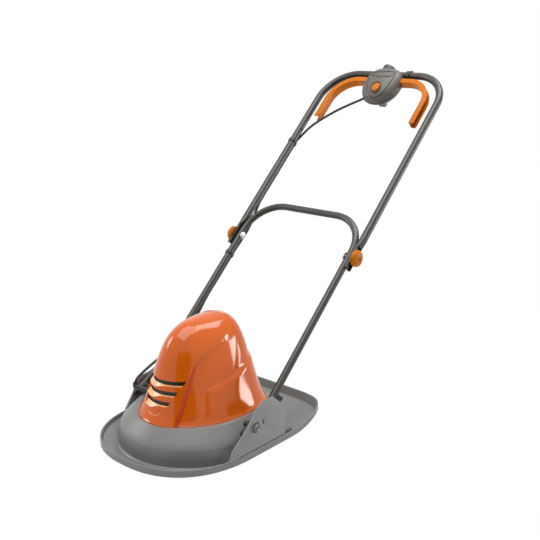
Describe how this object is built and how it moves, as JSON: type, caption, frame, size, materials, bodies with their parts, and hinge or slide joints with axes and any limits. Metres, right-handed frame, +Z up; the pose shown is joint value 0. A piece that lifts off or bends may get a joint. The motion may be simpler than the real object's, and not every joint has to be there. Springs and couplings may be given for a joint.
{
  "type": "hover mower",
  "caption": "Electric hover mower with a floating hood, a motor under an orange cover, an impeller and blade beneath, and a folding tubular handle with start levers.",
  "frame": {"origin": "on the ground under the middle of the whole machine's box", "axes": "+Z up, +Y from the nose towards the operator's end of the handle, +X to the operator's left"},
  "size_m": [0.3858, 0.9497, 0.7567],
  "materials": {
    "grey_plastic": "satin moulding",
    "orange_gloss": "high gloss",
    "orange_plastic": "soft gloss",
    "tube_paint": "gloss paint",
    "box_plastic": "satin moulding",
    "black_plastic": "satin moulding",
    "black_rubber": "matt",
    "steel": "zinc plated",
    "cast_alloy": "as cast",
    "copper": "bright",
    "brush_brass": "bright",
    "carbon": "matt",
    "capacitor_film": "gloss",
    "cream_plastic": "satin moulding"
  },
  "bodies": {
    "deck": {"hood": "grey_plastic", "handle_bracket_left": "grey_plastic", "handle_bracket_right": "grey_plastic", "bracket_screws": "steel", "pivot_bolts": "steel", "pivot_nuts": "steel", "stop_buffers": "black_rubber", "motor_cover": "orange_gloss", "cover_screws": "steel", "vent_screen": "black_plastic", "lower_motor_frame": "cast_alloy", "upper_motor_frame": "cast_alloy", "stator_core": "steel", "field_coils": "copper", "lower_bearing": "steel", "upper_bearing": "steel", "brush_holders": "brush_brass", "carbon_brushes": "carbon", "motor_screws": "steel", "motor_mount_screws": "steel", "capacitor": "capacitor_film", "terminal_block": "cream_plastic", "cable_gland": "black_plastic", "motor_lead": "black_rubber", "cable_loop": "black_rubber"},
    "rotor": {"motor_shaft": "steel", "armature_core": "steel", "armature_winding": "copper", "commutator": "copper", "impeller": "orange_plastic", "blade_spacers": "black_plastic", "blade": "steel", "blade_washer": "steel", "blade_bolt": "steel"},
    "lower_handle": {"lower_handle_tube": "tube_paint", "tube_plugs": "black_plastic", "clamp_bolts": "steel", "lower_cable_clip": "black_plastic", "cable_lower": "black_rubber", "cable_fold": "black_rubber"},
    "upper_handle": {"upper_handle_tube": "tube_paint", "switch_box_front": "box_plastic", "switch_box_rear": "box_plastic", "switch_box_screws": "steel", "start_switch": "black_plastic", "mains_inlet": "black_plastic", "inlet_pins": "steel", "cable_restraint": "black_plastic", "upper_cable_clip": "black_plastic", "cable_upper": "black_rubber"},
    "knob_left": {"knob_left": "orange_plastic"},
    "knob_right": {"knob_right": "orange_plastic"},
    "lever_left": {"lever_left": "orange_plastic"},
    "lever_right": {"lever_right": "orange_plastic"},
    "lock_button": {"lock_button": "orange_plastic"}
  },
  "joints": [
    {"name": "lower_handle_tilt", "type": "hinge", "parent": "deck", "child": "lower_handle", "pos_m": [0, -0.2758, 0.07], "axis": [1, 0, 0], "range_deg": [0, 60]},
    {"name": "upper_handle_fold", "type": "hinge", "parent": "lower_handle", "child": "upper_handle", "pos_m": [0, 0.0504, 0.35683], "axis": [1, 0, 0], "range_deg": [0, 140]},
    {"name": "knob_left_turn", "type": "hinge", "parent": "lower_handle", "child": "knob_left", "pos_m": [0, 0.0504, 0.35683], "axis": [1, 0, 0], "continuous": true},
    {"name": "knob_right_turn", "type": "hinge", "parent": "lower_handle", "child": "knob_right", "pos_m": [0, 0.0504, 0.35683], "axis": [1, 0, 0], "continuous": true},
    {"name": "rotor_spin", "type": "hinge", "parent": "deck", "child": "rotor", "pos_m": [0, -0.2818, 0], "axis": [0, 0, 1], "continuous": true},
    {"name": "lever_left_squeeze", "type": "hinge", "parent": "upper_handle", "child": "lever_left", "pos_m": [0.038, 0.42273, 0.71263], "axis": [0, -0.6909, 0.723], "range_deg": [0, 5], "stiffness_Nm_per_rad": 2, "springref_deg": -5.73},
    {"name": "lever_right_squeeze", "type": "hinge", "parent": "upper_handle", "child": "lever_right", "pos_m": [-0.038, 0.42273, 0.71263], "axis": [0, 0.6909, -0.723], "range_deg": [0, 5], "stiffness_Nm_per_rad": 2, "springref_deg": -5.73},
    {"name": "lock_button_press", "type": "slide", "parent": "upper_handle", "child": "lock_button", "axis": [0, 0.6909, -0.723], "range_m": [0, 0.004], "stiffness_N_per_m": 300, "springref_m": -0.002}
  ]
}
